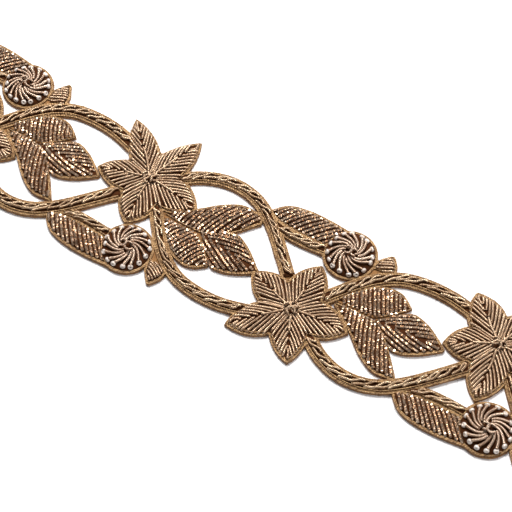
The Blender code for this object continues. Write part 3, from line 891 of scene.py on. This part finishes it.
def purl_walk(unit, petal, notch, vein, share):
    """The line of one purl from the vein out to the petal's border, for a place on the vein."""
    side = 1.0 if notch > petal.heading else -1.0
    heart_lean = abs(notch - petal.heading) - 1.0
    lean = heart_lean + (TIP_LEAN - heart_lean) * share ** LEAN_POWER + chance.uniform(-1.5, 1.5)
    wide = 1.12 + 0.44 * share
    closing = 0.008 + 0.08 * share
    point = from_flower(unit, petal.heading, vein) + VEIN_ROOM * ahead_of(petal.heading + 90.0 * side)
    line = [point]
    while inside_petal(unit, petal, notch, point) and len(line) < LONGEST_WALK:
        turn = lean * (wide - closing * WALK_STEP * len(line))
        point = point + WALK_STEP * ahead_of(petal.heading + side * turn)
        line.append(point)
    return np.array(line), wide * lean


def half_petal(spool, unit, petal, notch):
    vein_end = VEIN_SHARE * (petal.reach - PETAL_BORDER)
    vein = FIRST_START
    while vein < vein_end:
        line, lean = purl_walk(unit, petal, notch, vein, vein / vein_end)
        if len(line) > SHORTEST_WALK:
            radius = PURL_RADIUS * chance.uniform(0.92, 1.06)
            lay_purl(spool, lay(unit, line), f"flower_{unit + 1}", radius)
        vein += PURL_PITCH / math.sin(math.radians(lean))


def straight_purl(spool, unit, heading, start, end, lift):
    """A purl that runs out from the flower's middle along a heading, with a little sway."""
    steps = np.linspace(0.0, 1.0, SWAY_POINTS)
    sway = heading + chance.uniform(-3.0, 3.0) * np.sin(math.pi * steps)
    line = [from_flower(unit, turn, start + (end - start) * step) for turn, step in zip(sway, steps)]
    lay_purl(spool, lay(unit, line), f"flower_{unit + 1}", lift=lift)


def flower_purls(unit):
    """All the purls of one flower, with the vein of each petal laid last and highest."""
    spool = Spool()
    for petal, low, high in petals_of(unit):
        half_petal(spool, unit, petal, low)
        half_petal(spool, unit, petal, high)
        notch_end = NOTCH_REACH - PETAL_BORDER + NOTCH_PURL_PAST
        straight_purl(spool, unit, low, start=2.0, end=notch_end, lift=0.8)
    for petal in FLOWERS[unit].petals:
        tip = petal.reach - PETAL_BORDER
        straight_purl(spool, unit, petal.heading, start=2.4, end=chance.uniform(0.44, 0.60) * tip, lift=1.6)
        straight_purl(spool, unit, petal.heading, start=0.80 * tip, end=0.99 * tip, lift=0.9)
    return spool


# %% [markdown]
# The heart of a flower or a rosette is a knot: a few purls are bent into loops and sewn over each other, so
# that they stand up from the place where all the others meet.

# %% Knots
LOOP_POINTS = 17
LOOP_SIDES = 7
LOOP_WIRE = 0.46
LOOP_HEIGHT = 1.3
LOOP_CLIMB = 0.25
LOOP_RISE = 0.7
LOOP_DROP = 0.6
LOOP_TURN = 0.9
LOOP_RADIUS = 1.3


def curl(spool, centre, radius, height, start, sweep):
    """A purl bent into an open loop that rises in its middle."""
    ring = centre + radius * spokes(np.linspace(start, start + sweep, LOOP_POINTS))
    path = np.column_stack([ring, height + LOOP_RISE * np.sin(np.linspace(0.0, math.pi, LOOP_POINTS))])
    path[[0, -1], 2] -= LOOP_DROP
    spool.wind(path, LOOP_WIRE, LOOP_SIDES, chance.uniform(0.4, 1.0))


def knot(spool, middle, node, loops, spread):
    base = height_on(node, middle) + LOOP_HEIGHT
    for loop in range(loops):
        angle = FULL_TURN * loop / loops + chance.uniform(-0.5, 0.5)
        sweep = chance.uniform(4.4, 5.9)
        radius = LOOP_RADIUS * chance.uniform(0.9, 1.15)
        centre = middle + spread * toward(angle)
        curl(spool, centre, radius, base + LOOP_CLIMB * loop, angle + LOOP_TURN, sweep)


for unit, flower in enumerate(FLOWERS):
    wires = flower_purls(unit)
    knot(wires, lay(unit, flower.middle), f"flower_{unit + 1}", loops=4, spread=1.45)
    place_spool(f"flower_{unit + 1}_purls", wires, petal_purl)

# %% [markdown]
# ## Rosettes
# Purls swirl out of a knot, and each ends in a seed bead. They start at three distances from the middle,
# and those that start further out lie higher. The swirl turns the other way on every second rosette, as the
# half repeat is turned over. A bead is a small ring, spun from a circle.

# %% Rosettes
ROSETTE_PURLS = 16
ROSETTE_WIRE = 0.57
TIERS = 3
TIER_START = 1.5
TIER_GAP = 0.7
TIER_LIFT = 0.25
SWIRL = 1.2
SWIRL_POWER = 1.5
SWIRL_POINTS = 12
BEAD_RADIUS = 1.0
BEAD_RING = 8.05
BEAD_WALL = 0.42
BEAD_WIDENING = 1.45
BEAD_HOLE = 0.58
BEAD_SEAT = 0.55
BEAD_OVERLAP = 0.25


@functools.cache
def bead_shape():
    """One bead as arrays, with its hole along X."""
    mesh = bmesh.new()
    ring = bmesh.ops.create_circle(mesh, segments=8, radius=BEAD_WALL * BEAD_RADIUS)
    bmesh.ops.scale(mesh, vec=(BEAD_WIDENING, 1.0, 1.0), verts=ring["verts"])
    bmesh.ops.translate(mesh, vec=(0.0, BEAD_HOLE * BEAD_RADIUS, 0.0), verts=ring["verts"])
    bmesh.ops.spin(
        mesh, geom=mesh.edges[:] + mesh.verts[:], cent=(0, 0, 0), axis=(1, 0, 0),
        angle=FULL_TURN, steps=12, use_merge=True,
    )
    points, faces = as_arrays(mesh)
    mesh.free()
    return points, faces


def place_bead(spool, centre, heading, tilt):
    """A bead whose hole points along a heading and is tilted up."""
    points, faces = bead_shape()
    c, s = toward(heading)
    ct, st = toward(tilt)
    turn = np.array(((c * ct, -s, -c * st), (s * ct, c, -s * st), (st, 0.0, ct)))
    places = np.zeros((sum(len(face) for face in faces), 2))
    spool.add(points @ turn.T + centre, faces, places, chance.random())


def rosette(unit, node):
    middle = lay(unit, ROSETTE)
    wires = Spool()
    beads = Spool()
    for step in range(ROSETTE_PURLS):
        tier = step % TIERS
        heading = FULL_TURN * (step + chance.uniform(-0.16, 0.16)) / ROSETTE_PURLS
        ring = BEAD_RING * chance.uniform(0.96, 1.03)
        reach = np.linspace(TIER_START + TIER_GAP * tier, ring - BEAD_OVERLAP * BEAD_RADIUS, SWIRL_POINTS)
        inner = np.clip(1.0 - (reach - TIER_START) / (ring - TIER_START), 0.0, 1.0)
        swirl = side_of(unit) * SWIRL * inner ** SWIRL_POWER
        plan = middle + reach[:, None] * spokes(heading + swirl)
        lay_purl(wires, plan, node, ROSETTE_WIRE, CLOSE_RING_GAP, lift=0.9 + TIER_LIFT * tier, climb=0.4)
        centre = middle + ring * toward(heading)
        height = height_on(node, centre) + BEAD_SEAT * BEAD_RADIUS
        place_bead(beads, np.array((*centre, height)), heading, chance.uniform(0.0, 0.8))
    knot(wires, middle, node, loops=2, spread=1.2)
    return wires, beads


for unit in range(len(FLOWERS)):
    name = f"rosette_{unit + 1}"
    wires, beads = rosette(unit, name)
    place_spool(f"{name}_purls", wires, rosette_purl)
    place_spool(f"{name}_beads", beads, pearl_bead)

# %% [markdown]
# ## Leaves
# Rows of check purl cross the leaves on a slant. A row is found by walking along a slightly curved line and
# keeping its longest stretch that lies in the leaf, so that its ends follow the leaf's edge whatever its
# shape. Along the outside a border is left for the edging. Where two leaves meet there is only a narrow
# valley. The tip leaf has a vein, and its rows lean out from there, at a different slant on each side.

# %% Room for the rows
OUTER_MARGIN = 1.0
SHARED_MARGIN = 0.2
SHARED_REACH = 1.7
LEAF_NAMES = ("single_leaf", "rear_leaf", "tip_leaf", "outer_leaf", "bud")


def pads_of(link, names):
    """The names of those pads of a half repeat that are there, each after the name of its kind."""
    nodes = ((name, f"{name}_{link.unit + 1}") for name in names)
    return [(name, node) for name, node in nodes if node in pads]


def nearest(points, others):
    """How far each point is from the nearest of some others, and which that is."""
    gaps = np.linalg.norm(points[:, None, :] - others[None, :, :], axis=2)
    return gaps.min(axis=1), gaps.argmin(axis=1)


def inside_loop(points, loop):
    """Which points lie inside a closed loop: those with an odd number of its edges to their right."""
    x, y = points[:, :1], points[:, 1:]
    x0, y0 = loop.T
    x1, y1 = np.roll(loop, -1, axis=0).T
    level = (y0 > y) != (y1 > y)
    crossing = x0 + (y - y0) * (x1 - x0) / np.where(y1 == y0, 1.0, y1 - y0)
    return np.sum(level & (x < crossing), axis=1) % 2 == 1


def shared_with(node, others):
    """Which points of a leaf's outline lie along some other leaves."""
    shared = np.zeros(len(leaf_loops[node]), bool)
    for _, other in others:
        shared |= nearest(leaf_loops[node], leaf_loops[other])[0] < SHARED_REACH
    return shared


leaf_loops = {}
leaf_shared = {}
for link in LINKS:
    leaves = pads_of(link, LEAF_NAMES)
    for name, node in leaves:
        leaf_loops[node] = even(lay(link.unit, leaf_outline(link, name)), WALK_STEP)
    for place, (_, node) in enumerate(leaves):
        leaf_shared[node] = (shared_with(node, leaves[:place]), shared_with(node, leaves[place + 1:]))


def room_for_rows(node, points):
    """Which points are in a leaf, clear of its border and of every other pad."""
    gaps, index = nearest(points, leaf_loops[node])
    shared = leaf_shared[node][0] | leaf_shared[node][1]
    margin = np.where(shared[index], SHARED_MARGIN, OUTER_MARGIN)
    clear = np.array([pad_at(point)[0] in (None, node) for point in points])
    return inside_loop(points, leaf_loops[node]) & (gaps > margin) & clear


# %% Rows across a leaf
ROW_GAP = 1.5
SHORTEST_ROW = 4
CHECK_RADIUS = 0.60
CHECK_SIDES = 5
CHECK_DROP = 0.5
BRICK = 0.66


def longest_stretch(inside):
    """First and last index of the longest run of true values."""
    best = (0, -1)
    start = 0
    for index, value in enumerate(inside):
        if not value:
            start = index + 1
        elif index - start > best[1] - best[0]:
            best = (start, index)
    return best


def slanted_rows(node, unit, angle, bend, gap=ROW_GAP, part=None):
    """Lines side by side over a leaf, or a part of it, all at one angle and slightly curved."""
    ahead = ahead_of(angle) * (1.0, side_of(unit))
    across = np.array((-ahead[1], ahead[0]))
    low, high = leaf_loops[node].min(axis=0), leaf_loops[node].max(axis=0)
    middle = 0.5 * (low + high)
    reach = 0.5 * np.linalg.norm(high - low)
    walk = np.arange(-reach, reach, WALK_STEP)
    rows = []
    for offset in np.arange(-reach, reach, gap):
        aside = offset + chance.uniform(-0.1, 0.1) + side_of(unit) * bend * walk ** 2
        line = middle + walk[:, None] * ahead + aside[:, None] * across
        inside = room_for_rows(node, line)
        if part is not None:
            inside &= part(line)
        first, last = longest_stretch(inside)
        if last - first >= SHORTEST_ROW:
            rows.append(line[first:last + 1])
    return rows


def check_row(spool, plan, node):
    """A row of check purl: a tube with a ridge for each turn of wire, each turned by chance."""
    line = purl_line(plan, node, CHECK_RADIUS, gap=0.5 * BRICK, lift=0.6)
    line[[0, -1], 2] -= CHECK_DROP * CHECK_RADIUS
    rings = np.arange(len(line))
    turns = np.array([chance.uniform(-0.5, 0.5) for _ in rings])[rings // 2]
    thick = np.where(rings % 2, 1.13, 0.74) * [chance.uniform(0.93, 1.07) for _ in rings]
    spool.wind(line, CHECK_RADIUS, CHECK_SIDES, chance.random(), turns, thick)


# %% Leaf tables
RowPlan = namedtuple("RowPlan", "angle bend")
SLANTED_LEAVES = {
    "single_leaf": RowPlan(66.0, -0.006),
    "rear_leaf": RowPlan(63.0, -0.006),
    "outer_leaf": RowPlan(48.0, -0.004),
}
TIP_VEIN = ((24.0, 0.0), (34.0, -0.2), (41.0, -0.6), (48.0, -0.8), (54.0, -0.9))
TIP_HALVES = {1.0: RowPlan(11.0, -0.012), -1.0: RowPlan(-27.0, 0.006)}
TIP_VEIN_ROOM = 0.25


def tip_rows(link, node):
    """The rows of a tip leaf: they start at its vein and lean out to both sides."""
    knots = np.array(TIP_VEIN)
    knots[:, 1] -= link.drop * np.linspace(0.0, 1.0, len(knots))
    vein = even(lay(link.unit, smooth_line(knots, LEAF_POINTS)), WALK_STEP)
    left = sideways(vein) * side_of(link.unit)
    rows = []
    for side, half in TIP_HALVES.items():
        def on_half(points):
            index = nearest(points, vein)[1]
            return side * np.sum((points - vein[index]) * left[index], axis=1) > TIP_VEIN_ROOM

        rows += slanted_rows(node, link.unit, *half, part=on_half)
    return rows


for link in LINKS:
    plans = {
        node: slanted_rows(node, link.unit, *SLANTED_LEAVES[name])
        for name, node in pads_of(link, SLANTED_LEAVES)
    }
    for _, node in pads_of(link, ["tip_leaf"]):
        plans[node] = tip_rows(link, node)
    for node, rows in plans.items():
        spool = Spool()
        for plan in rows:
            check_row(spool, plan, node)
        place_spool(f"{node}_rows", spool, check_purl, smooth=False)

# %% [markdown]
# ## Buds
# A bud is a small oval with a few smooth purls laid across it.

# %% Buds
BUD_ROWS = RowPlan(-28.0, -0.02)
BUD_ROW_GAP = 1.05

for unit in range(len(FLOWERS)):
    node = f"bud_{unit + 1}"
    wires = Spool()
    for plan in slanted_rows(node, unit, *BUD_ROWS, BUD_ROW_GAP):
        lay_purl(wires, plan, node)
    place_spool(f"{node}_purls", wires, petal_purl)

# %% [markdown]
# ## Stems
# Down the middle of a stem runs a rope of short purls. Each starts at one side, crosses the middle on a
# slant and ends at the other side, over the start of the next. They are sewn by hand, so they waver.

# %% Ropes
ROPE_LENGTH = 8.6
SHORTEST_ROPE = 2.5
ROPE_PITCH = 4.3
ROPE_SWING = 1.05
ROPE_WAVE = 0.28
ROPE_RADIUS = 0.54
ROPE_POINTS = 16


def lay_rope(spool, track, node):
    """Short purls that cross the middle line one after another, each over the start of the next."""
    t = np.linspace(0.0, 1.0, ROPE_POINTS)
    crossing = 2.0 * t ** 2 * (3.0 - 2.0 * t) - 1.0
    last_start = track.length - SHORTEST_ROPE
    for start in np.arange(-0.5 * ROPE_LENGTH, last_start, ROPE_PITCH):
        begin = max(min(start + chance.uniform(-0.9, 0.9), last_start), 0.0)
        end = min(start + ROPE_LENGTH * chance.uniform(0.85, 1.15), track.length)
        swerve = ROPE_SWING * chance.uniform(0.7, 1.15) * crossing
        wave = ROPE_WAVE * np.sin(3.0 * math.pi * t + chance.uniform(-1.0, 1.0))
        plan = track.at(begin + (end - begin) * t, swerve + wave)
        lay_purl(spool, plan, node, ROPE_RADIUS, CLOSE_RING_GAP, lift=0.8, climb=0.4)


for link in LINKS:
    for name, node in pads_of(link, STEMS):
        path = stem_line(link, name)[0]
        first, last = longest_stretch([height_on(node, point) is not None for point in path])
        wires = Spool()
        lay_rope(wires, Track(path[first:last + 1]), node)
        place_spool(f"{node}_rope", wires, rope_purl)

# %% [markdown]
# ## Edging
# Every motif is edged with rows of gold thread in stem stitch: short stitches that overlap like the strands
# of a rope. A row follows the motif's outline, drawn in from the edge of the cloth. A stitch is left out
# where another motif's pad lies over it, and where two leaves meet only one of them has a row. Here and
# there a fine end of thread sticks out at a cut edge.

# %% Stem stitch
STITCH_PITCH = 0.95
STITCH_LENGTH = 1.75
STITCH_RADIUS = 0.27
STITCH_SIDES = 5
STITCH_ALONG = np.array((0.0, 0.3, 0.7, 1.0))
STITCH_ASIDE = 0.15 * np.array((-1.0, -0.35, 0.35, 1.0))
STITCH_HEIGHT = np.array((0.0, 0.24, 0.28, 0.0))
EDGE_STEP = 0.25
WIDE_INSETS = (0.30, 0.74, 1.18)
NARROW_INSETS = (0.30, 0.74)
HAIR_GAP = 2.2
HAIR_REACH = (0.5, 1.5)
HAIR_RADIUS = 0.06
HAIR_SIDES = 3
HAIR_POINTS = 4
HAIR_BEND = 1.5
HAIR_SINK = 0.1


def stitch_row(spool, path, node, skipped=None):
    """A row of overlapping stitches along a path, on the cloth and on the rim of its motif's own pad."""
    track = Track(even(path, EDGE_STEP))
    for start in np.arange(0.0, track.length - STITCH_LENGTH, STITCH_PITCH):
        runs = start + STITCH_LENGTH * STITCH_ALONG
        under = track.at(runs[1:2])[0]
        owner, height = pad_at(under)
        if owner not in (None, node) or (skipped is not None and skipped(under)):
            continue
        heights = height + STITCH_HEIGHT + chance.uniform(-0.05, 0.08)
        stitch = np.column_stack([track.at(runs, STITCH_ASIDE), heights])
        spool.wind(stitch, STITCH_RADIUS, STITCH_SIDES, chance.random())


def loose_hairs(spool, path):
    """Fine ends of thread at a cut edge."""
    track = Track(even(path, EDGE_STEP))
    spread = np.linspace(0.0, 1.0, HAIR_POINTS)
    for start in np.arange(0.0, track.length, HAIR_GAP):
        runs = start + chance.uniform(0.0, HAIR_GAP) + chance.uniform(-1.2, 1.2) * spread
        reach = chance.uniform(*HAIR_REACH) * chance.choice((-1.0, 1.0))
        plan = track.at(runs, reach * spread ** HAIR_BEND)
        if pad_at(plan[-1])[0] is None:
            heights = CLOTH_TOP - HAIR_SINK + chance.uniform(-0.6, 0.7) * spread
            spool.wind(np.column_stack([plan, heights]), HAIR_RADIUS, HAIR_SIDES, chance.random())


def leaf_edging(spool, link, name, node):
    """The rows round a leaf, with only one where it meets a later leaf and none by an earlier one."""
    before, after = leaf_shared[node]
    for row, inset in enumerate(NARROW_INSETS):
        hidden = before | after if row else before

        def skipped(point):
            return hidden[nearest(point[None], leaf_loops[node])[1][0]]

        stitch_row(spool, lay(link.unit, drawn_in(leaf_outline(link, name), inset)), node, skipped)
    loose_hairs(spool, leaf_loops[node])


def edging(link):
    spool = Spool()
    unit = link.unit
    if unit >= 0:
        flower, disc = flower_outline(unit), rosette_outline()
        for inset in WIDE_INSETS:
            stitch_row(spool, lay(unit, drawn_in(flower, inset)), f"flower_{unit + 1}")
        for inset in NARROW_INSETS:
            stitch_row(spool, lay(unit, drawn_in(disc, inset)), f"rosette_{unit + 1}")
        loose_hairs(spool, lay(unit, flower))
        loose_hairs(spool, lay(unit, disc))
    for name, node in pads_of(link, LEAF_NAMES):
        leaf_edging(spool, link, name, node)
    for name, node in pads_of(link, STEMS):
        path, half_width = stem_line(link, name)
        left = sideways(path)
        for side in (-1.0, 1.0):
            for inset in WIDE_INSETS:
                stitch_row(spool, path + left * (side * (half_width - inset)), node)
            loose_hairs(spool, path + left * (side * half_width))
    return spool


for link in LINKS:
    place_spool(f"edging_{link.unit + 1}", edging(link), edging_thread)

# %% [markdown]
# ## Studio
# The trim lies on a plain white table under soft light that comes mostly from behind it, so that its
# shadows fall softly towards the camera. The table is large and fades into a pale surrounding.

# %% Table
TABLE_SIZE = 4.0
TABLE_WHITE = (0.93, 0.93, 0.945, 1.0)


def table_top():
    mesh = bmesh.new()
    bmesh.ops.create_grid(mesh, x_segments=2, y_segments=2, size=0.5 * TABLE_SIZE)
    data = bpy.data.meshes.new("table_top")
    mesh.to_mesh(data)
    mesh.free()
    finish = Finish("white_table")
    finish.set(base_color=TABLE_WHITE, roughness=0.85)
    data.materials.append(finish.material)
    top = bpy.data.objects.new("table_top", data)
    bpy.context.scene.collection.objects.link(top)
    return top


table_top()

# %% Light
def out_at(heading, elevation):
    """The direction at a heading round the trim and an elevation above the table."""
    flat = math.cos(math.radians(elevation))
    return Vector((*(flat * ahead_of(heading)), math.sin(math.radians(elevation))))


def soft_lamp(name, place, size, power, colour):
    """A square lamp that looks at the middle of the trim from a place in metres."""
    light = bpy.data.lights.new(name, "AREA")
    light.shape = "SQUARE"
    light.size = size
    light.energy = power
    light.color = colour
    lamp = bpy.data.objects.new(name, light)
    bpy.context.scene.collection.objects.link(lamp)
    lamp.location = place
    lamp.rotation_euler = (-lamp.location).to_track_quat("-Z", "Y").to_euler()


soft_lamp("key_lamp", 0.9 * out_at(120.0, 60.0), size=0.50, power=15.5, colour=(1.0, 0.985, 0.97))
soft_lamp("side_lamp", 1.0 * out_at(15.0, 35.0), size=0.35, power=3.0, colour=(1.0, 0.98, 0.96))

world = bpy.data.worlds.new("studio")
bpy.context.scene.world = world
world.use_nodes = True
surround = world.node_tree.nodes["Background"].inputs
surround["Color"].default_value = (0.93, 0.94, 1.0, 1.0)
surround["Strength"].default_value = 0.20
bpy.context.scene.view_settings.view_transform = "Standard"

# %% [markdown]
# ## Camera
# The photo was taken from above the near edge, about 63 degrees above the table and turned 30 degrees round
# the trim, from a little under half a metre away.

# %% Camera
CAMERA_HEADING = -59.83
CAMERA_ELEVATION = 63.0
CAMERA_DISTANCE = 461.0
CAMERA_LENS = 91.1
SENSOR_WIDTH = 36.0
LOOK_AT = (16.3, 0.56, 0.0)

camera_data = bpy.data.cameras.new("photo_camera")
camera = bpy.data.objects.new("photo_camera", camera_data)
bpy.context.scene.collection.objects.link(camera)
bpy.context.scene.camera = camera
camera_data.lens = CAMERA_LENS
camera_data.sensor_width = SENSOR_WIDTH
camera_data.clip_start = 0.01
back = out_at(CAMERA_HEADING, CAMERA_ELEVATION)
camera.location = (Vector(LOOK_AT) + CAMERA_DISTANCE * back) * MM
camera.rotation_euler = (-back).to_track_quat("-Z", "Y").to_euler()

# %% Sizes
print("Triangles added:", sum(made_triangles.values()), "most in one piece:", max(made_triangles.values()))
